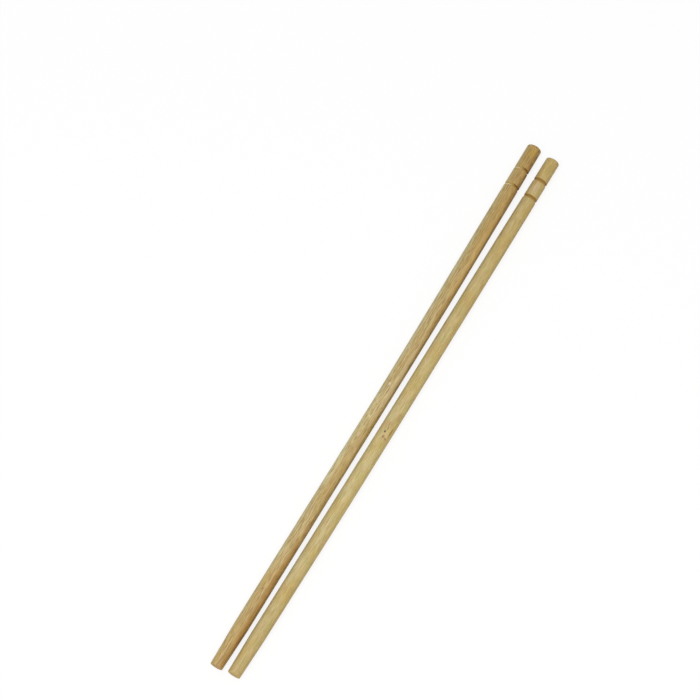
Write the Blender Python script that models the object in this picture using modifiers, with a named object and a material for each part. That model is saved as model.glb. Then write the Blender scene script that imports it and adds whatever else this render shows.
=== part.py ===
"""A pair of round, disposable bamboo chopsticks, 200 mm long and 5 mm thick, lying side by side.

Each stick is turned from one splint of bamboo: sawn off square at both ends, eased by tumbling at its
thick end (the butt), ground to a short cone at its eating end (the tip), and scored with two ring notches
where the hand holds it. Bamboo springs a little as it dries, so each stick is bowed, and no two are quite
the same size.

Metres, +Z up. The butts point to +X, the left stick lies at +Y, and both rest on the plane z = 0 with the
origin under the middle of the pair.
"""

import math

import bmesh
import bpy
from mathutils import Vector

# Left stick, along its length from the butt
LEFT_LENGTH = 0.2012
LEFT_BUTT_DIAMETER = 0.00495
LEFT_GRIP_DIAMETER = 0.00511
LEFT_GRIP_AT = 0.0350
LEFT_WAIST_DIAMETER = 0.00468
LEFT_WAIST_AT = 0.1290
LEFT_SHOULDER_DIAMETER = 0.00477
LEFT_TIP_DIAMETER = 0.00405
LEFT_BEND = math.radians(0.72)
LEFT_BEND_FROM = 0.045
LEFT_BEND_TO = 0.115
LEFT_FIRST_NOTCH_AT = 0.0093
LEFT_NOTCH_DEPTH = 0.00028
LEFT_NOTCH_SHALLOW_DEPTH = 0.00020
LEFT_NOTCH_DEEP_SIDE = math.radians(75.0)
LEFT_BUTT_ROUNDING = 0.00060

# Right stick, along its length from the butt
RIGHT_LENGTH = 0.1995
RIGHT_BUTT_DIAMETER = 0.00464
RIGHT_GRIP_DIAMETER = 0.00487
RIGHT_GRIP_AT = 0.0400
RIGHT_WAIST_DIAMETER = 0.00490
RIGHT_WAIST_AT = 0.1320
RIGHT_SHOULDER_DIAMETER = 0.00471
RIGHT_TIP_DIAMETER = 0.00417
RIGHT_BEND = math.radians(0.48)
RIGHT_BEND_FROM = 0.102
RIGHT_BEND_TO = 0.158
RIGHT_FIRST_NOTCH_AT = 0.0088
RIGHT_NOTCH_DEPTH = 0.00031
RIGHT_NOTCH_SHALLOW_DEPTH = 0.00028
RIGHT_NOTCH_DEEP_SIDE = math.radians(50.0)
RIGHT_BUTT_ROUNDING = 0.00035

# What both sticks share
TIP_CONE_LENGTH = 0.0140
TIP_ROUNDING = 0.00012
NOTCH_COUNT = 2
NOTCH_SPACING = 0.0068
NOTCH_BUTT_FLANK_ANGLE = math.radians(48.0)
NOTCH_TIP_FLANK_ANGLE = math.radians(72.0)

# How the pair lies: the gap between the sticks half way along, how far the left butt lies past the right
# one, and how far each stick's middle is turned about +Z
MIDDLE_GAP = 0.00164
BUTT_LEAD = 0.00122
LEFT_TURN = math.radians(0.10)
RIGHT_TURN = math.radians(-0.02)

# Facets
STEPS_ROUND = 48
ROUNDING_STEPS = 4
BODY_STEPS = 20
MERGE_DISTANCE = 0.00001

# Height of the cutting ring's section, which stands well out of the stick
CUTTER_HEIGHT = 0.0010

# Bamboo colours, linear
BROWN_BAMBOO = (0.467, 0.319, 0.137, 1.0)
PALE_BAMBOO = (0.523, 0.413, 0.181, 1.0)
BAMBOO_ROUGHNESS = 0.62

LEFT_STICK = {
    "length": LEFT_LENGTH,
    "butt_diameter": LEFT_BUTT_DIAMETER,
    "grip_diameter": LEFT_GRIP_DIAMETER,
    "grip_at": LEFT_GRIP_AT,
    "waist_diameter": LEFT_WAIST_DIAMETER,
    "waist_at": LEFT_WAIST_AT,
    "shoulder_diameter": LEFT_SHOULDER_DIAMETER,
    "tip_diameter": LEFT_TIP_DIAMETER,
    "bend": LEFT_BEND,
    "bend_from": LEFT_BEND_FROM,
    "bend_to": LEFT_BEND_TO,
    "first_notch_at": LEFT_FIRST_NOTCH_AT,
    "notch_depth": LEFT_NOTCH_DEPTH,
    "notch_shallow_depth": LEFT_NOTCH_SHALLOW_DEPTH,
    "notch_deep_side": LEFT_NOTCH_DEEP_SIDE,
    "butt_rounding": LEFT_BUTT_ROUNDING,
}
RIGHT_STICK = {
    "length": RIGHT_LENGTH,
    "butt_diameter": RIGHT_BUTT_DIAMETER,
    "grip_diameter": RIGHT_GRIP_DIAMETER,
    "grip_at": RIGHT_GRIP_AT,
    "waist_diameter": RIGHT_WAIST_DIAMETER,
    "waist_at": RIGHT_WAIST_AT,
    "shoulder_diameter": RIGHT_SHOULDER_DIAMETER,
    "tip_diameter": RIGHT_TIP_DIAMETER,
    "bend": RIGHT_BEND,
    "bend_from": RIGHT_BEND_FROM,
    "bend_to": RIGHT_BEND_TO,
    "first_notch_at": RIGHT_FIRST_NOTCH_AT,
    "notch_depth": RIGHT_NOTCH_DEPTH,
    "notch_shallow_depth": RIGHT_NOTCH_SHALLOW_DEPTH,
    "notch_deep_side": RIGHT_NOTCH_DEEP_SIDE,
    "butt_rounding": RIGHT_BUTT_ROUNDING,
}


def clear_scene():
    """Removes every object, so that the script starts from nothing."""
    for obj in list(bpy.data.objects):
        bpy.data.objects.remove(obj, do_unlink=True)


def new_collection(name):
    collection = bpy.data.collections.new(name)
    bpy.context.scene.collection.children.link(collection)
    return collection


def bamboo_material(name, colour):
    """Bare, unvarnished bamboo: matte, with no metal in it."""
    material = bpy.data.materials.new(name)
    material.use_nodes = True
    shader = material.node_tree.nodes["Principled BSDF"]
    shader.inputs["Base Color"].default_value = colour
    shader.inputs["Roughness"].default_value = BAMBOO_ROUGHNESS
    shader.inputs["Metallic"].default_value = 0.0
    material.diffuse_color = colour
    return material


def ease(fraction):
    """Goes from 0 to 1 with a level start and end."""
    return (1.0 - math.cos(math.pi * fraction)) / 2.0


def body_rings(stick):
    """The turned body's named rings, as (distance from the butt, radius)."""
    return [
        (0.0, stick["butt_diameter"] / 2.0),
        (stick["grip_at"], stick["grip_diameter"] / 2.0),
        (stick["waist_at"], stick["waist_diameter"] / 2.0),
        (stick["length"] - TIP_CONE_LENGTH, stick["shoulder_diameter"] / 2.0),
    ]


def body_radius(stick, along):
    """Radius of the turned body: it swells and narrows gently from one named ring to the next."""
    rings = body_rings(stick)
    for (start, start_radius), (end, end_radius) in zip(rings, rings[1:]):
        if along <= end:
            return start_radius + (end_radius - start_radius) * ease((along - start) / (end - start))
    return rings[-1][1]


def quarter_round(centre_radius, centre_along, rounding, first_angle):
    """Points (radius, distance from the butt) of a rounded edge, a quarter turn on from first_angle."""
    points = []
    for step in range(ROUNDING_STEPS + 1):
        angle = first_angle + math.radians(90.0) * step / ROUNDING_STEPS
        radius = centre_radius + rounding * math.sin(angle)
        along = centre_along - rounding * math.cos(angle)
        points.append((radius, along))
    return points


def stick_outline(stick):
    """Half outline of a stick, from the middle of the butt's face round to the middle of the tip's."""
    length = stick["length"]
    shoulder_at = length - TIP_CONE_LENGTH
    rounding = stick["butt_rounding"]
    butt_radius = body_radius(stick, rounding)
    tip_radius = stick["tip_diameter"] / 2.0
    outline = [(0.0, 0.0)]
    outline += quarter_round(butt_radius - rounding, rounding, rounding, 0.0)
    for step in range(1, BODY_STEPS + 1):
        along = rounding + (shoulder_at - rounding) * step / BODY_STEPS
        outline.append((body_radius(stick, along), along))
    tip_round_at = length - TIP_ROUNDING
    outline += quarter_round(tip_radius - TIP_ROUNDING, tip_round_at, TIP_ROUNDING, math.radians(90.0))
    outline.append((0.0, length))
    return outline


def profile_mesh(name, points, closed):
    """Edges through the points, given as (distance from the axis, height), in the plane y = 0."""
    edit = bmesh.new()
    verts = [edit.verts.new((radius, 0.0, height)) for radius, height in points]
    for start, end in zip(verts, verts[1:]):
        edit.edges.new((start, end))
    if closed:
        edit.edges.new((verts[-1], verts[0]))
    mesh = bpy.data.meshes.new(name)
    edit.to_mesh(mesh)
    edit.free()
    return mesh


def add_turning(obj):
    """Turns a profile round the object's own Z axis into a closed surface."""
    screw = obj.modifiers.new("Turning", "SCREW")
    screw.axis = "Z"
    screw.angle = math.radians(360.0)
    screw.steps = STEPS_ROUND
    screw.render_steps = STEPS_ROUND
    screw.use_merge_vertices = True
    screw.merge_threshold = MERGE_DISTANCE
    screw.use_smooth_shade = True


def turned_stick(name, stick, collection, material):
    """The plain turned stick, upright about its own middle, with its butt on top."""
    half = stick["length"] / 2.0
    points = [(radius, half - along) for radius, along in stick_outline(stick)]
    mesh = profile_mesh(name, points, closed=False)
    mesh.materials.append(material)
    obj = bpy.data.objects.new(name, mesh)
    collection.objects.link(obj)
    add_turning(obj)
    return obj


def notch_cutter(name, stick, along, collection):
    """A ring with a V-shaped inner edge, set off the stick's axis, so that it cuts deeper on one side.

    The deep side is an angle round the lying stick, from its top (its own -X) towards the world's -Y. The
    ring moves the other way, so that its inner edge comes closer to the axis there. The flank on the butt's
    side is steep and the one on the tip's side long; both angles are measured from square to the stick.
    """
    surface_radius = body_radius(stick, along)
    mean_depth = (stick["notch_depth"] + stick["notch_shallow_depth"]) / 2.0
    off_centre = (stick["notch_depth"] - stick["notch_shallow_depth"]) / 2.0
    root_radius = surface_radius - mean_depth
    section = [
        (root_radius + CUTTER_HEIGHT, CUTTER_HEIGHT * math.tan(NOTCH_BUTT_FLANK_ANGLE)),
        (root_radius + CUTTER_HEIGHT, -CUTTER_HEIGHT * math.tan(NOTCH_TIP_FLANK_ANGLE)),
        (root_radius, 0.0),
    ]
    cutter = bpy.data.objects.new(name, profile_mesh(name, section, closed=True))
    collection.objects.link(cutter)
    add_turning(cutter)
    deep_side = stick["notch_deep_side"]
    cutter.location = (
        off_centre * math.cos(deep_side),
        off_centre * math.sin(deep_side),
        stick["length"] / 2.0 - along,
    )
    cutter.hide_render = True
    cutter.display_type = "WIRE"
    return cutter


def cut_notches(obj, stick, collection):
    """Scores the stick with its ring notches, counted from the butt."""
    for number in range(NOTCH_COUNT):
        along = stick["first_notch_at"] + number * NOTCH_SPACING
        cutter = notch_cutter(f"{obj.name}_notch_{number + 1}", stick, along, collection)
        cutter.parent = obj
        boolean = obj.modifiers.new(f"Notch {number + 1}", "BOOLEAN")
        boolean.operation = "DIFFERENCE"
        boolean.solver = "EXACT"
        boolean.object = cutter


def spring_sideways(obj, stick):
    """Bends the stick evenly between two places, its ends towards its own +Y. The rest stays straight."""
    bend = obj.modifiers.new("Bend", "SIMPLE_DEFORM")
    bend.deform_method = "BEND"
    bend.deform_axis = "X"
    bend.angle = stick["bend"]
    bend.limits[0] = 1.0 - stick["bend_to"] / stick["length"]
    bend.limits[1] = 1.0 - stick["bend_from"] / stick["length"]


def resting_line(stick):
    """The line that the stick lies on, as its height under the middle and its slope towards the butt.

    A stick lies on the two rings, one each side of its middle, that hold it highest.
    """
    middle = stick["length"] / 2.0
    rings = [(along, radius) for radius, along in stick_outline(stick)]
    butt_side = [ring for ring in rings if ring[0] < middle]
    tip_side = [ring for ring in rings if ring[0] >= middle]
    lines = []
    for butt_along, butt_radius in butt_side:
        for tip_along, tip_radius in tip_side:
            slope = (butt_radius - tip_radius) / (tip_along - butt_along)
            lines.append((tip_radius + slope * (tip_along - middle), slope))
    return max(lines)


def lay_down(obj, stick, middle_x, middle_y, turn):
    """Lays the stick on the plane z = 0, butt to +X, with its middle turned about +Z."""
    height, slope = resting_line(stick)
    obj.location = (middle_x, middle_y, height)
    obj.rotation_euler = (0.0, math.radians(90.0) - math.atan(slope), turn)


def make_stick(name, stick, material, parts, cutters):
    obj = turned_stick(name, stick, parts, material)
    cut_notches(obj, stick, cutters)
    spring_sideways(obj, stick)
    return obj


def lay_pair(left, right):
    """Lays the sticks side by side, a little apart."""
    lay_down(left, LEFT_STICK, 0.0, 0.0, LEFT_TURN)
    left_radius = body_radius(LEFT_STICK, LEFT_LENGTH / 2.0)
    right_radius = body_radius(RIGHT_STICK, RIGHT_LENGTH / 2.0)
    right_x = (LEFT_LENGTH - RIGHT_LENGTH) / 2.0 - BUTT_LEAD
    right_y = -(left_radius + MIDDLE_GAP + right_radius)
    lay_down(right, RIGHT_STICK, right_x, right_y, RIGHT_TURN)


def centre_on_origin(objects):
    """Moves the sticks together, so that the middle of their box on the table is at the origin."""
    bpy.context.view_layer.update()
    depsgraph = bpy.context.evaluated_depsgraph_get()
    points = []
    for obj in objects:
        evaluated = obj.evaluated_get(depsgraph)
        mesh = evaluated.to_mesh()
        points += [evaluated.matrix_world @ vert.co for vert in mesh.vertices]
        evaluated.to_mesh_clear()
    low = Vector(min(point[axis] for point in points) for axis in range(3))
    high = Vector(max(point[axis] for point in points) for axis in range(3))
    middle = (low + high) / 2.0
    for obj in objects:
        obj.location -= Vector((middle.x, middle.y, low.z))


def main():
    clear_scene()
    parts = new_collection("Bamboo chopsticks")
    cutters = new_collection("Cutters")
    brown = bamboo_material("Brown bamboo", BROWN_BAMBOO)
    pale = bamboo_material("Pale bamboo", PALE_BAMBOO)
    left = make_stick("left_chopstick", LEFT_STICK, brown, parts, cutters)
    right = make_stick("right_chopstick", RIGHT_STICK, pale, parts, cutters)
    lay_pair(left, right)
    centre_on_origin([left, right])


main()
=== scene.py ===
import math

import bmesh
import bpy
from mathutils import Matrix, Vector


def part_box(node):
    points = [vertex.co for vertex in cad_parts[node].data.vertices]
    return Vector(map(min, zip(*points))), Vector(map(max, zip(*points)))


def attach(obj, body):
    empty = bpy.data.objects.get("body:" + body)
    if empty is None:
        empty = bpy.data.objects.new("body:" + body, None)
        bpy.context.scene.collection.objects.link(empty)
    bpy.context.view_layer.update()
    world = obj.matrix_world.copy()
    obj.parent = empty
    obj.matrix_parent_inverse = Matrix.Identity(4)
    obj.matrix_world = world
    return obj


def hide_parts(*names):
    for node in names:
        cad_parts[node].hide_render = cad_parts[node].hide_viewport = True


# Loads the two plain sticks, each in its final place, and keeps the size of the box that they fill
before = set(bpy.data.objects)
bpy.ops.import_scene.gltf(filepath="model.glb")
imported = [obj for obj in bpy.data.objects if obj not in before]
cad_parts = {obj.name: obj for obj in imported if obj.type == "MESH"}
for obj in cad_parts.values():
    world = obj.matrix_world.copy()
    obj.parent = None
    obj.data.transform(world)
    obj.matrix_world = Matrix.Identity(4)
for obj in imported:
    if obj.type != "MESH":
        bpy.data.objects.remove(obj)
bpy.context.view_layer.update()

# Lengths are written in millimetres and turned into metres by this
MM = 0.001

# The two sticks, in millimetres along each one from its thick end, the butt. Each pit has its place along,
# its angle in degrees from the top to the right, its reach and its depth.
LEFT_STICK = {
    "node": "left_chopstick",
    "length": 201.2,
    "rings": [(0.0, 4.95), (35.0, 5.11), (129.0, 4.68), (187.2, 4.77)],
    "tip_diameter": 4.05,
    "butt_rounding": 0.60,
    "bend": math.radians(0.72),
    "bend_from": 45.0,
    "bend_to": 115.0,
    "tilt": math.radians(0.066),
    "turn": math.radians(0.10),
    "notches": [9.3, 16.1],
    "notch_depth": 0.28,
    "notch_shallow_depth": 0.20,
    "notch_deep_side": math.radians(75.0),
    "pits": [],
}
RIGHT_STICK = {
    "node": "right_chopstick",
    "length": 199.5,
    "rings": [(0.0, 4.64), (40.0, 4.87), (132.0, 4.90), (185.5, 4.71)],
    "tip_diameter": 4.17,
    "butt_rounding": 0.35,
    "bend": math.radians(0.48),
    "bend_from": 102.0,
    "bend_to": 158.0,
    "tilt": math.radians(0.011),
    "turn": math.radians(-0.02),
    "notches": [8.8, 15.6],
    "notch_depth": 0.31,
    "notch_shallow_depth": 0.28,
    "notch_deep_side": math.radians(50.0),
    "pits": [
        (110.0, 1.0, 0.40, 0.16),
        (111.75, 9.0, 0.40, 0.08),
        (112.1, 35.0, 0.38, 0.12),
    ],
    "pits_from": 104.0,
    "pits_to": 114.0,
}
TIP_ROUNDING = 0.12

# A notch's flanks, measured from square to the stick: steep on the butt's side and long on the tip's
NOTCH_BUTT_FLANK = math.radians(48.0)
NOTCH_TIP_FLANK = math.radians(72.0)
# How far the long flank runs along the stick, from the notch's root to its rim
LONG_FLANK_LENGTH = 0.9

# Unevenness of the surface, in millimetres: the bumps' size across, across and along, and their height
TORN_FLANKS = ((0.45, 0.45, 0.45), 0.05)
OUT_OF_ROUND = ((3.0, 3.0, 25.0), 0.06)
RAISED_FIBRES = ((0.35, 0.35, 12.0), 0.03)

# The bamboo's wide fibre bundles, in millimetres, and the thinner ones between them
BUNDLE_SPACING = 0.72
BUNDLE_THICKNESS = 0.40
THIN_SPACING = 0.33
THIN_THICKNESS = 0.24
# The fibres wander sideways by up to this much, over about this length
FIBRE_WANDER = 1.2
WANDER_LENGTH = 60.0

# How finely the sticks are modelled: counts, and spacings in millimetres. A ring lies on each side of a
# notch's root, at the notch margins.
STEPS_ROUND = 144
RING_SPACING = 5.0
RING_CUTS = 11
ROUNDING_STEPS = 5
NOTCH_MARGINS = (-0.7, 1.4)
CUTTER_HEIGHT = 1.0
FLANK_STEPS = 8
END_RINGS = 10
PIT_SPACING = 0.2
PIT_CUTS = 2
SMOOTH_BELOW = math.radians(35.0)

# Points closer than this are merged, and points within this of a height lie on it, in millimetres
MERGE_DISTANCE = 0.003
LEVEL_TOLERANCE = 0.01
# Points are sorted by their distance from this place before they are merged
SORT_FROM = Vector((-37.0, -19.0, -151.0)) * MM
# A face that looks along the stick by more than this share is part of a sawn end
SAWN_FACING = 0.99

# The camera sees the sticks from a little to the right of straight above. Both are given painted shade on
# their right, the side away from the light, square to that view: its direction left, up and along.
SEEN_FROM = math.radians(11.5)
SHADED_SIDE = (-math.cos(SEEN_FROM), -math.sin(SEEN_FROM), 0.0)

# The finishes: sRGB colours as rrggbb, shares from 0 to 1, and millimetres. Each mark is its place along,
# its angle in degrees from the top to the right, its length, its width, its share and its colour.
BROWN_LOOK = {
    # Painted shade on the right side, away from the light and beside the other stick: where it starts and
    # ends, in millimetres across, and its darker colour after the ground's
    "shade_from": -0.2,
    "shade_to": 3.0,
    "ground": "cfbc8c",
    "side_shade": "b48c42",
    # Painted light on the left side, which faces the light: its greyer colour and its share
    "inner": "d0dab4",
    "inner_amount": 0.62,
    # Painted shade towards the butt and the tip, where less light falls, multiplied into the colour
    "butt": "e2d2b0",
    "tip": "efe1c8",
    "golden": "b8963c",
    "gilding": 0.24,
    "patch": "a6a45e",
    "patchiness": 0.24,
    "rosy": "c89c64",
    "bundles": 0.66,
    "fibre": "7c5a1a",
    "thin_bundles": 0.62,
    "thin_fibre": "7e5a20",
    "hairs": 0.66,
    "lights": 0.58,
    "light": "dac684",
    "marks": [
        (28.0, 9.0, 70.0, 2.4, 0.32, "a88640"),
        (44.0, 42.0, 60.0, 2.4, 0.36, "d8b470"),
        (62.0, -42.0, 90.0, 2.6, 0.18, "d6cea0"),
        (131.0, 14.0, 46.0, 2.6, 0.45, "a8843c"),
        (86.0, 17.0, 16.0, 2.0, 0.35, "a8803c"),
        (190.0, 62.0, 18.0, 1.8, 0.40, "8a5c20"),
        (176.0, -18.0, 40.0, 2.2, 0.25, "a8803c"),
        (180.0, 42.0, 80.0, 3.0, 0.42, "9c6a22"),
        (93.0, 36.0, 45.0, 2.4, 0.30, "d8c8a0"),
        (62.5, -22.0, 5.0, 0.40, 0.60, "7d5c2c"),
        (68.9, -6.0, 3.2, 0.40, 0.50, "7d5c2c"),
        (63.0, 39.0, 7.0, 0.40, 0.50, "7a5624"),
        (81.5, 26.0, 4.0, 0.40, 0.50, "7a5624"),
        (88.0, 55.0, 4.0, 0.40, 0.60, "6b4718"),
        (96.7, -6.0, 1.4, 1.2, 0.50, "d4d4c0"),
        (109.2, -8.0, 1.0, 0.9, 0.55, "e0d8b4"),
        (116.2, -6.0, 2.4, 1.1, 0.40, "dccaa8"),
        (104.9, 44.0, 0.7, 0.50, 0.50, "6b4a1c"),
        (97.5, -44.0, 1.0, 0.80, 0.50, "b87a38"),
        (164.1, -62.0, 0.8, 0.60, 0.80, "5a4020"),
        (173.8, -6.0, 1.0, 0.50, 0.60, "6b4c22"),
        (158.0, 16.0, 11.0, 0.35, 0.35, "7a5626"),
        (192.0, 5.0, 10.0, 0.35, 0.55, "755124"),
        (192.0, 23.0, 9.0, 0.35, 0.45, "755124"),
        (192.0, -25.0, 9.0, 0.35, 0.40, "755124"),
        (190.5, 68.0, 7.0, 0.80, 0.60, "5e3f18"),
        (4.0, -10.0, 6.0, 2.0, 0.30, "a07c30"),
        (2.8, 16.0, 4.5, 2.2, 0.50, "b08c20"),
        (0.7, -42.0, 1.0, 0.50, 0.60, "75602a"),
        (0.6, -9.0, 1.1, 0.40, 0.60, "75602a"),
        (0.6, 20.0, 1.0, 0.50, 0.70, "6a4e1a"),
        (0.8, 52.0, 1.1, 0.60, 0.70, "5e4416"),
    ],
    "sawn": "b49a62",
    "sawn_fibre": "6e4c20",
    # Scorch and painted shade in the notches, darkest at the root and on the stick's right, away from the
    # light
    "notch_root": "6a4610",
    "notch_worn": "8a6220",
    "notch_rim": "b8904c",
    "notch_plain": "ac9050",
    # Pale torn wood with painted light, on the notches' left, which faces the light
    "notch_torn_and_lit": "e6dcb4",
    # Where the notches' scorch and painted shade start and end, in millimetres to the left
    "scorch_and_shade_from": 0.4,
    "scorch_and_shade_to": -1.4,
}
PALE_LOOK = {
    # Painted shade on the right side, away from the light: where it starts and ends, in millimetres
    # across, and its darker colour after the ground's
    "shade_from": -0.5,
    "shade_to": 3.4,
    "ground": "cdbd88",
    "side_shade": "b09a4c",
    # Painted light on the left side, which faces the light: its greyer colour and its share
    "inner": "b0b89a",
    "inner_amount": 0.42,
    # Painted shade towards the butt and the tip, where less light falls, multiplied into the colour
    "butt": "eee5d5",
    "tip": "f3ebe0",
    "golden": "bfa040",
    "gilding": 0.46,
    "patch": "acac64",
    "patchiness": 0.44,
    "rosy": "c69e74",
    "bundles": 0.36,
    "fibre": "907034",
    "thin_bundles": 0.28,
    "thin_fibre": "957438",
    "hairs": 0.40,
    "lights": 0.42,
    "light": "d6c690",
    "marks": [
        (12.2, 2.0, 5.0, 2.6, 0.45, "c6a888"),
        (103.6, 42.0, 5.0, 2.2, 0.36, "987234"),
        (106.0, 20.0, 5.5, 1.8, 0.34, "a0783a"),
        (107.6, -18.0, 4.4, 1.8, 0.36, "c49664"),
        (111.5, 14.0, 3.4, 2.4, 0.45, "ceac84"),
        (109.3, 46.0, 5.0, 0.75, 0.75, "866020"),
        (107.2, 1.5, 2.6, 0.48, 0.70, "805a28"),
        (108.6, 9.0, 2.2, 0.48, 0.75, "765224"),
        (110.0, 1.0, 1.15, 0.80, 1.0, "3c2810"),
        (111.75, 9.0, 1.6, 0.95, 0.65, "70501e"),
        (112.0, 24.0, 1.0, 0.45, 0.50, "7a5424"),
        (112.2, 35.0, 0.9, 0.55, 0.85, "503614"),
    ],
    "sawn": "bda46c",
    "sawn_fibre": "846236",
    # Scorch and painted shade in the notches, darkest at the root and on the stick's right, away from the
    # light
    "notch_root": "84621f",
    "notch_worn": "967230",
    "notch_rim": "b08c4a",
    "notch_plain": "98783c",
    # Pale torn wood with painted light, on the notches' left, which faces the light
    "notch_torn_and_lit": "b89c60",
    # Where the notches' scorch and painted shade start and end, in millimetres to the left
    "scorch_and_shade_from": 3.0,
    "scorch_and_shade_to": 0.5,
}


def linear(hex_colour):
    """An sRGB colour written as rrggbb, as the linear colour that shaders take."""
    channels = []
    for start in (0, 2, 4):
        value = int(hex_colour[start:start + 2], 16) / 255.0
        channels.append(value / 12.92 if value <= 0.04045 else ((value + 0.055) / 1.055) ** 2.4)
    return (*channels, 1.0)


def deselect_all():
    if bpy.context.object and bpy.context.object.mode != "OBJECT":
        bpy.ops.object.mode_set(mode="OBJECT")
    bpy.ops.object.select_all(action="DESELECT")


def make_active(obj):
    deselect_all()
    obj.select_set(True)
    bpy.context.view_layer.objects.active = obj


def apply_modifiers(obj):
    make_active(obj)
    for modifier in list(obj.modifiers):
        bpy.ops.object.modifier_apply(modifier=modifier.name)


def ease(fraction):
    """A share from 0 to 1 that starts and ends slowly."""
    return (1.0 - math.cos(math.pi * fraction)) / 2.0


def body_radius(stick, along):
    """Radius of the turned body, which swells and narrows gently between its named rings."""
    rings = stick["rings"]
    for (start, start_width), (end, end_width) in zip(rings, rings[1:]):
        if along <= end:
            return (start_width + (end_width - start_width) * ease((along - start) / (end - start))) / 2.0
    return rings[-1][1] / 2.0


def rounded_edge(radius, along, rounding, first_angle):
    """Rings (radius, distance from the butt) of a quarter round about a centre."""
    rings = []
    for step in range(ROUNDING_STEPS + 1):
        angle = first_angle + math.pi / 2.0 * step / ROUNDING_STEPS
        rings.append((radius + rounding * math.sin(angle), along - rounding * math.cos(angle)))
    return rings


def stick_rings(stick):
    """Rings from the butt's flat to the tip's, with a close one on either side of each notch."""
    length = stick["length"]
    shoulder_at = stick["rings"][-1][0]
    rounding = stick["butt_rounding"]
    rings = rounded_edge(body_radius(stick, rounding) - rounding, rounding, rounding, 0.0)
    stations = [notch + side for notch in stick["notches"] for side in NOTCH_MARGINS]
    first = stations[-1]
    count = round((shoulder_at - first) / RING_SPACING)
    stations += [first + (shoulder_at - first) * step / count for step in range(1, count + 1)]
    rings += [(body_radius(stick, along), along) for along in stations]
    tip_radius = stick["tip_diameter"] / 2.0
    rings += rounded_edge(tip_radius - TIP_ROUNDING, length - TIP_ROUNDING, TIP_ROUNDING, math.pi / 2.0)
    return rings


def extrude_rings(name, rings):
    """Starts from a circle and extrudes it from ring to ring, given as (radius, height) in metres."""
    deselect_all()
    radius, height = rings[0]
    bpy.ops.mesh.primitive_circle_add(
        vertices=STEPS_ROUND, radius=radius, fill_type="NOTHING", location=(0.0, 0.0, height)
    )
    obj = bpy.context.object
    obj.name = name
    obj.data.name = name
    bpy.ops.object.transform_apply(location=True, rotation=False, scale=False)
    bpy.ops.object.mode_set(mode="EDIT")
    bpy.ops.mesh.select_all(action="SELECT")
    for next_radius, next_height in rings[1:]:
        bpy.ops.mesh.extrude_region_move(
            TRANSFORM_OT_translate={"value": (0.0, 0.0, next_height - height)}
        )
        growth = next_radius / radius
        bpy.ops.transform.resize(value=(growth, growth, 1.0), center_override=(0.0, 0.0, next_height))
        radius, height = next_radius, next_height
    bpy.ops.object.mode_set(mode="OBJECT")
    return obj


def close_end(obj, height, radius):
    """Fills the open ring at a height and insets the face ring by ring down to its middle."""
    make_active(obj)
    bpy.ops.object.mode_set(mode="EDIT")
    bpy.ops.mesh.select_all(action="DESELECT")
    edit = bmesh.from_edit_mesh(obj.data)
    tolerance = LEVEL_TOLERANCE * MM
    for edge in edit.edges:
        if edge.is_boundary and all(abs(vert.co.z - height) < tolerance for vert in edge.verts):
            edge.select_set(True)
    bmesh.update_edit_mesh(obj.data)
    bpy.ops.mesh.edge_face_add()
    for step in range(END_RINGS):
        bpy.ops.mesh.inset(thickness=radius / (END_RINGS + 1))
    bpy.ops.mesh.poke()
    bpy.ops.object.mode_set(mode="OBJECT")


def merge_and_face_outwards(obj):
    """Merges points that nearly coincide, as a cut leaves them, and turns every normal outwards.

    A cut gives its points in an order that changes from run to run, so they are sorted first. That way
    the same ones are kept each time.
    """
    make_active(obj)
    bpy.context.scene.cursor.location = SORT_FROM
    bpy.ops.object.mode_set(mode="EDIT")
    bpy.ops.mesh.select_all(action="SELECT")
    bpy.ops.mesh.sort_elements(type="CURSOR_DISTANCE", elements={"VERT", "EDGE", "FACE"})
    bpy.ops.mesh.remove_doubles(threshold=MERGE_DISTANCE * MM)
    bpy.ops.mesh.normals_make_consistent(inside=False)
    bpy.ops.object.mode_set(mode="OBJECT")


def plain_stick(stick):
    """The turned stick, upright about its middle, with its butt on top and no notches yet."""
    half = stick["length"] / 2.0
    rings = [(radius * MM, (half - along) * MM) for radius, along in stick_rings(stick)]
    obj = extrude_rings(stick["node"] + "_bamboo", rings)
    close_end(obj, rings[0][1], rings[0][0])
    close_end(obj, rings[-1][1], rings[-1][0])
    merge_and_face_outwards(obj)
    return obj


def notch_cutter(stick, along):
    """A ring with a V inside, off centre, so that it cuts deeper on one side of the stick."""
    mean_depth = (stick["notch_depth"] + stick["notch_shallow_depth"]) / 2.0
    off_centre = (stick["notch_depth"] - stick["notch_shallow_depth"]) / 2.0
    root = body_radius(stick, along) - mean_depth
    butt_flank = []
    tip_flank = []
    for step in range(FLANK_STEPS + 1):
        out = CUTTER_HEIGHT * step / FLANK_STEPS
        butt_flank.append((root + out, out * math.tan(NOTCH_BUTT_FLANK)))
        tip_flank.append((root + out, -out * math.tan(NOTCH_TIP_FLANK)))
    rings = butt_flank[:0:-1] + tip_flank + butt_flank[-1:]
    obj = extrude_rings("notch_cutter", [(radius * MM, level * MM) for radius, level in rings])
    merge_and_face_outwards(obj)
    side = stick["notch_deep_side"]
    shift = Vector((math.cos(side), math.sin(side), 0.0)) * off_centre * MM
    shift.z = (stick["length"] / 2.0 - along) * MM
    obj.location = shift
    bpy.ops.object.transform_apply(location=True, rotation=False, scale=False)
    return obj


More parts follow.
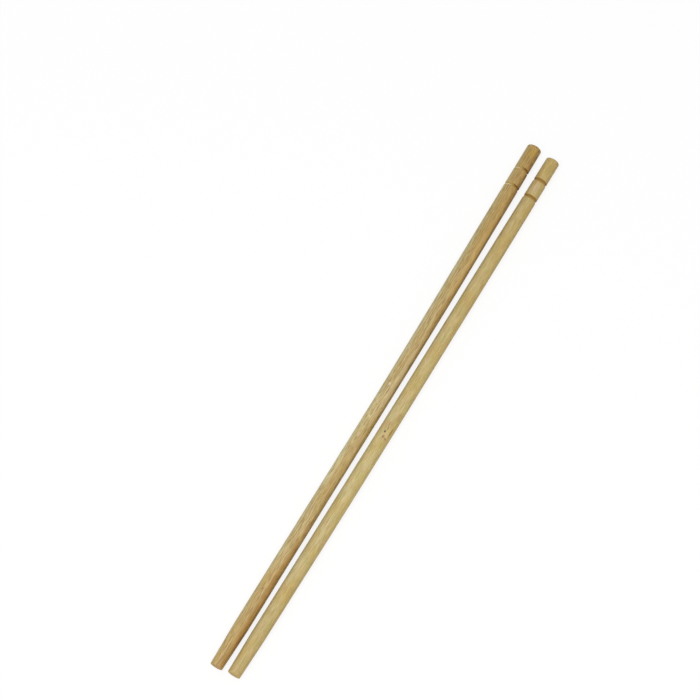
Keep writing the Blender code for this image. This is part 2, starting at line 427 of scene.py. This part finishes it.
def roughen(obj, name, bump_size, bump_height):
    """Moves the surface in and out by a cloud pattern with bumps of a size and height in millimetres."""
    texture = bpy.data.textures.new(name, "CLOUDS")
    texture.noise_scale = 1.0
    texture.noise_depth = 2
    guide = bpy.data.objects.new(name, None)
    bpy.context.scene.collection.objects.link(guide)
    guide.scale = [side * MM for side in bump_size]
    displace = obj.modifiers.new(name, "DISPLACE")
    displace.texture = texture
    displace.texture_coords = "OBJECT"
    displace.texture_coords_object = guide
    displace.strength = bump_height * MM
    displace.mid_level = 0.5
    bpy.context.view_layer.update()
    apply_modifiers(obj)
    bpy.data.objects.remove(guide)


def cut_away(obj, cutter):
    """Takes the cutter's shape out of the piece. The cut faces keep the cutter's material."""
    boolean = obj.modifiers.new("Cut", "BOOLEAN")
    boolean.operation = "DIFFERENCE"
    boolean.solver = "EXACT"
    boolean.material_mode = "TRANSFER"
    boolean.object = cutter
    apply_modifiers(obj)
    bpy.data.objects.remove(cutter)


def divide_along(obj, low, high, shortest, cuts):
    """Divides the edges that run along the stick between two heights and are longer than the shortest."""
    make_active(obj)
    bpy.ops.object.mode_set(mode="EDIT")
    bpy.ops.mesh.select_mode(type="EDGE")
    bpy.ops.mesh.select_all(action="DESELECT")
    edit = bmesh.from_edit_mesh(obj.data)
    for edge in edit.edges:
        start, end = edge.verts
        bottom, top = sorted((start.co.z / MM, end.co.z / MM))
        if top - bottom > shortest and bottom >= low and top <= high:
            edge.select_set(True)
    bmesh.update_edit_mesh(obj.data)
    bpy.ops.mesh.subdivide(number_cuts=cuts)
    bpy.ops.mesh.select_mode(type="VERT")
    bpy.ops.object.mode_set(mode="OBJECT")


def record_grain(obj, stick):
    """Keeps each point's place in the straight stick: millimetres left, up, and along from the butt."""
    half = stick["length"] / 2.0
    grain = obj.data.attributes.new("grain", "FLOAT_VECTOR", "POINT")
    places = []
    for vert in obj.data.vertices:
        places += [vert.co.y / MM, -vert.co.x / MM, half - vert.co.z / MM]
    grain.data.foreach_set("vector", places)


def place_on(stick, along, angle):
    """Left, up and along of a place on the surface, by its angle in degrees from the top to the right."""
    radius = body_radius(stick, along)
    turned = math.radians(angle)
    return Vector((-radius * math.sin(turned), radius * math.cos(turned), along))


def press_pits(obj, stick):
    """Presses the small pits of the bamboo's joint into the surface, each with a soft round edge."""
    half = stick["length"] / 2.0
    divide_along(obj, half - stick["pits_to"], half - stick["pits_from"], PIT_SPACING, PIT_CUTS)
    for along, angle, reach, depth in stick["pits"]:
        left, up, along = place_on(stick, along, angle)
        place = Vector((-up, left, half - along)) * MM
        inward = Vector((up, -left, 0.0)).normalized() * depth * MM
        bpy.ops.object.mode_set(mode="EDIT")
        bpy.ops.mesh.select_all(action="DESELECT")
        edit = bmesh.from_edit_mesh(obj.data)
        nearest = min(edit.verts, key=lambda vert: (vert.co - place).length)
        nearest.select_set(True)
        bmesh.update_edit_mesh(obj.data)
        bpy.ops.transform.translate(
            value=inward,
            use_proportional_edit=True,
            proportional_edit_falloff="SMOOTH",
            proportional_size=reach * MM,
        )
        bpy.ops.object.mode_set(mode="OBJECT")


def bend_sideways(obj, stick):
    """Bends the upright stick sideways between two places along it."""
    bend = obj.modifiers.new("Bend", "SIMPLE_DEFORM")
    bend.deform_method = "BEND"
    bend.deform_axis = "X"
    bend.angle = stick["bend"]
    bend.limits[0] = 1.0 - stick["bend_to"] / stick["length"]
    bend.limits[1] = 1.0 - stick["bend_from"] / stick["length"]
    apply_modifiers(obj)


def lay_on_node(obj, stick):
    """Lays the stick flat with its butt to +X, its box centred on the box of the plain stick.

    It tilts a little, so that it rests on the floor near both ends though they aren't equally thick.
    """
    make_active(obj)
    obj.rotation_euler = (0.0, math.radians(90.0) - stick["tilt"], stick["turn"])
    bpy.ops.object.transform_apply(location=True, rotation=True, scale=True)
    low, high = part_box(stick["node"])
    points = [vert.co for vert in obj.data.vertices]
    own_low = Vector(min(point[axis] for point in points) for axis in range(3))
    own_high = Vector(max(point[axis] for point in points) for axis in range(3))
    obj.location = (low + high) / 2.0 - (own_low + own_high) / 2.0
    bpy.ops.object.transform_apply(location=True, rotation=False, scale=False)


def add_node(tree, kind, inputs=None, **settings):
    """Adds a shader node with its settings, and gives each input a value or a link to another node.

    An input goes by its name or its number, and a node given for a value stands for its first output.
    """
    node = tree.nodes.new("ShaderNode" + kind)
    for name, value in settings.items():
        setattr(node, name, value)
    for key, value in (inputs or {}).items():
        if isinstance(key, int):
            socket = node.inputs[key]
        else:
            socket = next(slot for slot in node.inputs if slot.name == key and slot.enabled)
        if isinstance(value, bpy.types.Node):
            value = next(slot for slot in value.outputs if slot.enabled)
        if isinstance(value, bpy.types.NodeSocket):
            tree.links.new(value, socket)
        else:
            socket.default_value = value
    return node


def bare_bamboo(name):
    """A new material of bare bamboo: itself, its nodes, its shader and each place's grain coordinates."""
    material = bpy.data.materials.new(name)
    material.use_nodes = True
    tree = material.node_tree
    shader = tree.nodes["Principled BSDF"]
    shader.inputs["IOR"].default_value = 1.5
    grain = add_node(tree, "Attribute", attribute_name="grain").outputs["Vector"]
    return material, tree, shader, grain


def follow_fibres(tree, grain):
    """Places in the straight stick, moved sideways as the fibres wander along it."""
    along = add_node(tree, "SeparateXYZ", {"Vector": grain}).outputs["Z"]
    drift = add_node(
        tree,
        "TexNoise",
        {"W": along, "Scale": 1.0 / WANDER_LENGTH, "Detail": 1.0},
        noise_dimensions="1D",
    )
    return add_node(
        tree,
        "VectorMath",
        {0: drift.outputs["Color"], 1: (FIBRE_WANDER, FIBRE_WANDER, 0.0), 2: grain},
        operation="MULTIPLY_ADD",
    )


def clouds(tree, place, width, length, low, high):
    """Soft random spots from 0 to 1, of a width in millimetres, drawn out to a length along the stick."""
    stretched = add_node(
        tree, "Mapping", {"Vector": place, "Scale": (1.0 / width, 1.0 / width, 1.0 / length)}
    )
    noise = add_node(tree, "TexNoise", {"Vector": stretched, "Scale": 1.0, "Detail": 2.0})
    return add_node(tree, "MapRange", {"Value": noise, "From Min": low, "From Max": high})


def bundles(tree, place, spacing, thickness):
    """Fibre bundles with soft edges, as long as the stick, each as thick and dark as chance has it."""
    cells = add_node(
        tree,
        "TexVoronoi",
        {"Vector": place, "Scale": 1.0 / spacing, "Randomness": 0.60},
        voronoi_dimensions="2D",
    )
    chance = add_node(tree, "SeparateColor", {"Color": cells.outputs["Color"]})
    radius = thickness / spacing / 2.0
    reach = add_node(
        tree,
        "Math",
        {0: chance.outputs["Red"], 1: 0.5 * radius, 2: cells.outputs["Distance"]},
        operation="MULTIPLY_ADD",
    )
    darkness = add_node(tree, "MapRange", {"Value": chance.outputs["Green"], "To Min": 0.55})
    return add_node(
        tree,
        "MapRange",
        {"Value": reach, "From Min": 1.35 * radius, "From Max": 0.9 * radius, "To Max": darkness},
        interpolation_type="SMOOTHSTEP",
    )


def stain(tree, colour, hex_colour, pattern, amount, blend="MIX"):
    """Lays a colour over another by a pattern times an amount. MULTIPLY lets the lines show through."""
    share = add_node(tree, "Math", {0: pattern, 1: amount}, operation="MULTIPLY")
    return add_node(
        tree,
        "Mix",
        {"Factor": share, "A": colour, "B": linear(hex_colour)},
        data_type="RGBA",
        blend_type=blend,
    )


def ground_to_side_shade(tree, grain, look, ground):
    """A colour from the ground's to the painted shade's on the right side, away from the light, the
    shade's share, and the millimetres towards that side.
    """
    across = add_node(tree, "VectorMath", {0: grain, 1: SHADED_SIDE}, operation="DOT_PRODUCT")
    across = across.outputs["Value"]
    side_shade = add_node(
        tree,
        "MapRange",
        {"Value": across, "From Min": look["shade_from"], "From Max": look["shade_to"]},
        interpolation_type="SMOOTHSTEP",
    )
    colour = add_node(
        tree,
        "Mix",
        {"Factor": side_shade, "A": linear(ground), "B": linear(look["side_shade"])},
        data_type="RGBA",
    )
    return colour, side_shade, across


def add_patches(tree, colour, grain, fibres, across, look):
    """Painted light on the side that faces the light, and slow changes of tone in the ground."""
    # Painted light: the left side, which faces the light and the white surroundings, is greyer, and paler
    # on the left stick
    inner = add_node(tree, "MapRange", {"Value": across, "From Min": -0.8, "From Max": -2.5})
    colour = stain(tree, colour, look["inner"], inner, look["inner_amount"])

    # Golden stretches some 10 mm long, and patches of 4 mm and 3 mm that are greener and rosier
    golden = clouds(tree, grain, 3.5, 10.0, 0.42, 0.60)
    greener = clouds(tree, grain, 1.2, 4.0, 0.48, 0.66)
    rosy = clouds(tree, fibres, 1.0, 3.0, 0.50, 0.68)
    colour = stain(tree, colour, look["golden"], golden, look["gilding"])
    colour = stain(tree, colour, look["patch"], greener, look["patchiness"])
    return stain(tree, colour, look["rosy"], rosy, look["patchiness"])


def add_fibres(tree, colour, fibres, side_shade, look):
    """The bundles, the open vessels and the pale flecks, with the patterns that stand out in relief."""
    # Bundles 0.4 mm thick, cut open by the lathe, and worn weak every few millimetres
    wide = bundles(tree, fibres, BUNDLE_SPACING, BUNDLE_THICKNESS)
    gaps = clouds(tree, fibres, 0.35, 3.5, 0.38, 0.60)
    dashes = add_node(tree, "MapRange", {"Value": gaps, "To Min": 0.40})
    dashed = add_node(tree, "Math", {0: wide, 1: dashes}, operation="MULTIPLY")
    colour = stain(tree, colour, look["fibre"], dashed, look["bundles"])

    # Thinner ones between them, twice as strong in the painted shade on the right side
    thin = bundles(tree, fibres, THIN_SPACING, THIN_THICKNESS)
    share = add_node(tree, "MapRange", {"Value": side_shade, "To Min": 0.5})
    thin_in_shade = add_node(tree, "Math", {0: thin, 1: share}, operation="MULTIPLY")
    colour = stain(tree, colour, look["thin_fibre"], thin_in_shade, look["thin_bundles"])

    # Open vessels, dark dashes drawn about twice as wide as they are so that they show
    hairs = clouds(tree, fibres, 0.17, 3.5, 0.51, 0.61)
    colour = stain(tree, colour, look["fibre"], hairs, look["hairs"])

    # Pale flecks, where the tumbling raised the soft ground between the bundles
    lights = clouds(tree, fibres, 0.18, 2.8, 0.52, 0.64)
    colour = stain(tree, colour, look["light"], lights, look["lights"])
    return colour, wide, hairs


def shade_towards_ends(tree, colour, grain, look):
    """Painted shade: turns the stick darker and yellower from its middle towards both ends, where less
    light falls.
    """
    along = add_node(tree, "SeparateXYZ", {"Vector": grain}).outputs["Z"]
    butt = add_node(tree, "MapRange", {"Value": along, "From Min": 125.0, "From Max": 0.0})
    tip = add_node(tree, "MapRange", {"Value": along, "From Min": 130.0, "From Max": 200.0})
    colour = stain(tree, colour, look["butt"], butt, 1.0, "MULTIPLY")
    return stain(tree, colour, look["tip"], tip, 1.0, "MULTIPLY")


def add_marks(tree, colour, grain, stick, marks):
    """Marks of this very stick: each a soft-edged spot or dash about a place on it."""
    for along, angle, length, width, amount, hex_colour in marks:
        place = place_on(stick, along, angle)
        scale = Vector((2.0 / width, 2.0 / width, 2.0 / length))
        away = add_node(tree, "Mapping", {"Vector": grain, "Scale": scale, "Location": -place * scale})
        distance = add_node(tree, "VectorMath", {0: away}, operation="LENGTH")
        spot = add_node(
            tree,
            "MapRange",
            {"Value": distance.outputs["Value"], "From Min": 1.0, "From Max": 0.35},
            interpolation_type="SMOOTHSTEP",
        )
        colour = stain(tree, colour, hex_colour, spot, amount)
    return colour


def turned_bamboo(name, stick, look):
    """Bamboo turned to a rod and tumbled smooth: a pale ground with long brown fibre bundles in it."""
    material, tree, shader, grain = bare_bamboo(name)
    fibres = follow_fibres(tree, grain)
    # Painted shade turns the right side, away from the light, darker
    colour, side_shade, across = ground_to_side_shade(tree, grain, look, look["ground"])
    colour = add_patches(tree, colour, grain, fibres, across, look)
    colour, wide, hairs = add_fibres(tree, colour, fibres, side_shade, look)
    # Painted shade towards both ends, where less light falls
    colour = shade_towards_ends(tree, colour, grain, look)
    colour = add_marks(tree, colour, grain, stick, look["marks"])
    tree.links.new(colour.outputs[2], shader.inputs["Base Color"])

    # The dense bundles take a slight polish and stand proud of the softer ground between them
    rough = add_node(tree, "MapRange", {"Value": wide, "To Min": 0.62, "To Max": 0.45})
    tree.links.new(rough.outputs[0], shader.inputs["Roughness"])
    relief = add_node(tree, "Math", {0: wide, 1: hairs}, operation="SUBTRACT")
    bump = add_node(tree, "Bump", {"Height": relief, "Strength": 0.5, "Distance": 0.02 * MM})
    tree.links.new(bump.outputs[0], shader.inputs["Normal"])
    return material


def sawn_bamboo(name, look):
    """The sawn ends, where the bundles show as brown dots and the saw left fine level scratches."""
    material, tree, shader, grain = bare_bamboo(name)
    shader.inputs["Roughness"].default_value = 0.85
    # The painted shade of the right side reaches over the sawn ends too
    colour = ground_to_side_shade(tree, grain, look, look["sawn"])[0]
    dots = bundles(tree, follow_fibres(tree, grain), BUNDLE_SPACING, BUNDLE_THICKNESS)
    colour = stain(tree, colour, look["sawn_fibre"], dots, 0.75)

    # Scratches 4 mm long and 0.12 mm wide
    level = add_node(tree, "Mapping", {"Vector": grain, "Scale": (1.0 / 4.0, 1.0 / 0.12, 1.0)})
    scratches = add_node(tree, "TexNoise", {"Vector": level, "Scale": 1.0, "Detail": 2.0})
    colour = stain(tree, colour, look["sawn_fibre"], scratches, 0.20)
    tree.links.new(colour.outputs[2], shader.inputs["Base Color"])
    bump = add_node(tree, "Bump", {"Height": scratches, "Strength": 0.6, "Distance": 0.05 * MM})
    tree.links.new(bump.outputs[0], shader.inputs["Normal"])
    return material


def up_the_flank(tree, along, notches):
    """Share of the way up the long flank, from the root of either notch to its rim nearer the tip.

    The last millimetre before a root counts as none of the way.
    """
    first, second = notches
    margin = 1.0
    past = add_node(tree, "Math", {0: along, 1: first - margin}, operation="SUBTRACT")
    within = add_node(tree, "Math", {0: past, 1: second - first}, operation="FLOORED_MODULO")
    rim = margin + LONG_FLANK_LENGTH
    return add_node(tree, "MapRange", {"Value": within, "From Min": margin, "From Max": rim})


def notched_bamboo(name, stick, look):
    """The walls of a notch, scorched at the root by the cutter, with painted shade there and on the
    stick's right, away from the light, and pale with painted light where it tore the rim on the left,
    which faces the light.
    """
    material, tree, shader, grain = bare_bamboo(name)
    shader.inputs["Roughness"].default_value = 0.8
    parts = add_node(tree, "SeparateXYZ", {"Vector": grain})
    flank = up_the_flank(tree, parts.outputs["Z"], stick["notches"])

    # Scorched wood and painted shade at the root, worn lighter in spots of a third of a millimetre, and
    # fading out up the flank
    worn = clouds(tree, grain, 0.35, 0.35, 0.30, 0.70)
    root = add_node(
        tree,
        "Mix",
        {"Factor": worn, "A": linear(look["notch_root"]), "B": linear(look["notch_worn"])},
        data_type="RGBA",
    )
    scorched_and_shaded = stain(tree, root, look["notch_rim"], flank, 1.0)

    # Plain wood, torn pale on the left of the stick, with painted light there, on the side that faces the
    # light
    left_side = add_node(
        tree, "MapRange", {"Value": parts.outputs["X"], "From Min": -0.5, "From Max": 2.0}
    )
    torn_and_lit = add_node(
        tree, "MapRange", {"Value": flank, "From Min": 0.25, "From Max": 0.55, "To Max": left_side}
    )
    plain = add_node(
        tree,
        "Mix",
        {"Factor": torn_and_lit, "A": linear(look["notch_plain"]), "B": linear(look["notch_torn_and_lit"])},
        data_type="RGBA",
    )

    # The cutter pressed hardest on the stick's right, and scorched it there; painted shade darkens that
    # side too, away from the light
    pressed_and_shaded = add_node(
        tree,
        "MapRange",
        {"Value": parts.outputs["X"], "From Min": look["scorch_and_shade_from"], "From Max": look["scorch_and_shade_to"]},
        interpolation_type="SMOOTHSTEP",
    )
    colour = add_node(tree, "Mix", {"Factor": pressed_and_shaded, "A": plain, "B": scorched_and_shaded}, data_type="RGBA")
    tree.links.new(colour.outputs[2], shader.inputs["Base Color"])

    # Fuzz of torn fibres, in tufts of 0.1 mm
    fuzz = clouds(tree, grain, 0.10, 0.10, 0.30, 0.70)
    bump = add_node(tree, "Bump", {"Height": fuzz, "Strength": 0.6, "Distance": 0.03 * MM})
    tree.links.new(bump.outputs[0], shader.inputs["Normal"])
    return material


def make_chopstick(stick, turned, notched, sawn):
    """A whole stick from its three finishes: the turned side, the notches and the sawn ends."""
    obj = plain_stick(stick)
    for material in (turned, notched, sawn):
        obj.data.materials.append(material)
    for face in obj.data.polygons:
        if abs(face.normal.z) > SAWN_FACING:
            face.material_index = 2
    for along in stick["notches"]:
        cutter = notch_cutter(stick, along)
        cutter.data.materials.append(notched)
        roughen(cutter, "Torn flanks", *TORN_FLANKS)
        cut_away(obj, cutter)
    merge_and_face_outwards(obj)
    half = stick["length"] / 2.0
    divide_along(obj, -half, half, RING_SPACING / 2.0, RING_CUTS)
    record_grain(obj, stick)
    if stick["pits"]:
        press_pits(obj, stick)
    roughen(obj, "Out of round", *OUT_OF_ROUND)
    roughen(obj, "Raised fibres", *RAISED_FIBRES)
    bend_sideways(obj, stick)
    lay_on_node(obj, stick)
    bpy.ops.object.shade_smooth_by_angle(angle=SMOOTH_BELOW)
    # The frame's plain stick is hidden for this one, which goes wherever the pair's one body goes
    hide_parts(stick["node"])
    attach(obj, "root")
    return obj


left = make_chopstick(
    LEFT_STICK,
    turned_bamboo("Brown bamboo, turned", LEFT_STICK, BROWN_LOOK),
    notched_bamboo("Brown bamboo, notched", LEFT_STICK, BROWN_LOOK),
    sawn_bamboo("Brown bamboo, sawn", BROWN_LOOK),
)
# The left stick takes the browner of the two finishes in the part's record
right = make_chopstick(
    RIGHT_STICK,
    turned_bamboo("Pale bamboo, turned", RIGHT_STICK, PALE_LOOK),
    notched_bamboo("Pale bamboo, notched", RIGHT_STICK, PALE_LOOK),
    sawn_bamboo("Pale bamboo, sawn", PALE_LOOK),
)


def seen_directly(tree):
    """1 for what the camera sees, also by way of gloss, and 0 for the light that falls on the sticks."""
    rays = add_node(tree, "LightPath")
    seen = rays.outputs["Is Camera Ray"]
    for kind in ("Is Glossy Ray", "Is Transmission Ray"):
        seen = add_node(tree, "Math", {0: seen, 1: rays.outputs[kind]}, operation="MAXIMUM").outputs[0]
    return seen


def add_floor():
    """A white sheet. Camera and gloss see it nearly as a white backdrop, which keeps a light shadow."""
    deselect_all()
    bpy.ops.mesh.primitive_plane_add(size=4.0, location=(0.0, 0.0, 0.0))
    floor = bpy.context.object
    floor.name = "floor"
    material = bpy.data.materials.new("White paper floor")
    material.use_nodes = True
    tree = material.node_tree
    paper = tree.nodes["Principled BSDF"]
    paper.inputs["Base Color"].default_value = linear("fcfcfc")
    paper.inputs["Roughness"].default_value = 0.9
    paper.inputs["Specular IOR Level"].default_value = 0.0
    share = add_node(tree, "Math", {0: seen_directly(tree), 1: 0.8}, operation="MULTIPLY")
    white = add_node(tree, "Emission", {"Color": linear("ffffff"), "Strength": 1.0})
    mix = add_node(tree, "MixShader", {0: share, 1: paper, 2: white})
    tree.links.new(mix.outputs[0], tree.nodes["Material Output"].inputs["Surface"])
    floor.data.materials.append(material)


def add_camera():
    """The photograph's camera: straight over the picture's middle but for a lean, with a long lens."""
    aim = Vector((9.13, 20.5, 0.0)) * MM
    heading = math.radians(30.345)
    lean = math.radians(22.01)
    distance = 737.0 * MM
    back = Vector(
        (-math.cos(heading) * math.sin(lean), -math.sin(heading) * math.sin(lean), math.cos(lean))
    )
    data = bpy.data.cameras.new("Camera")
    data.sensor_width = 36.0
    data.lens = 119.1
    camera = bpy.data.objects.new("Camera", data)
    bpy.context.scene.collection.objects.link(camera)
    camera.location = aim + back * distance
    camera.rotation_euler = (lean, 0.0, heading - math.radians(90.0))
    bpy.context.scene.camera = camera


def add_room():
    """A white room, which lights the sticks evenly from all round."""
    world = bpy.data.worlds.new("Studio")
    world.use_nodes = True
    tree = world.node_tree
    background = tree.nodes["Background"]
    background.inputs["Color"].default_value = (1.0, 1.0, 1.0, 1.0)
    strength = add_node(tree, "MapRange", {"Value": seen_directly(tree), "To Min": 0.50, "To Max": 1.0})
    tree.links.new(strength.outputs[0], background.inputs["Strength"])
    bpy.context.scene.world = world


def add_softbox():
    """One wide softbox overhead, on the tips' side, with more power the further away it stands."""
    brightness = 0.667
    distance = 1.2
    data = bpy.data.lights.new("Softbox", "AREA")
    data.shape = "SQUARE"
    data.size = 0.9
    data.energy = brightness * math.pi ** 2 * distance ** 2
    lamp = bpy.data.objects.new("Softbox", data)
    bpy.context.scene.collection.objects.link(lamp)
    lamp.location = Vector((-0.30, -0.06, 0.95)).normalized() * distance
    lamp.rotation_euler = lamp.location.to_track_quat("Z", "Y").to_euler()


add_floor()
add_camera()
add_room()
add_softbox()
bpy.context.scene.view_settings.view_transform = "Standard"
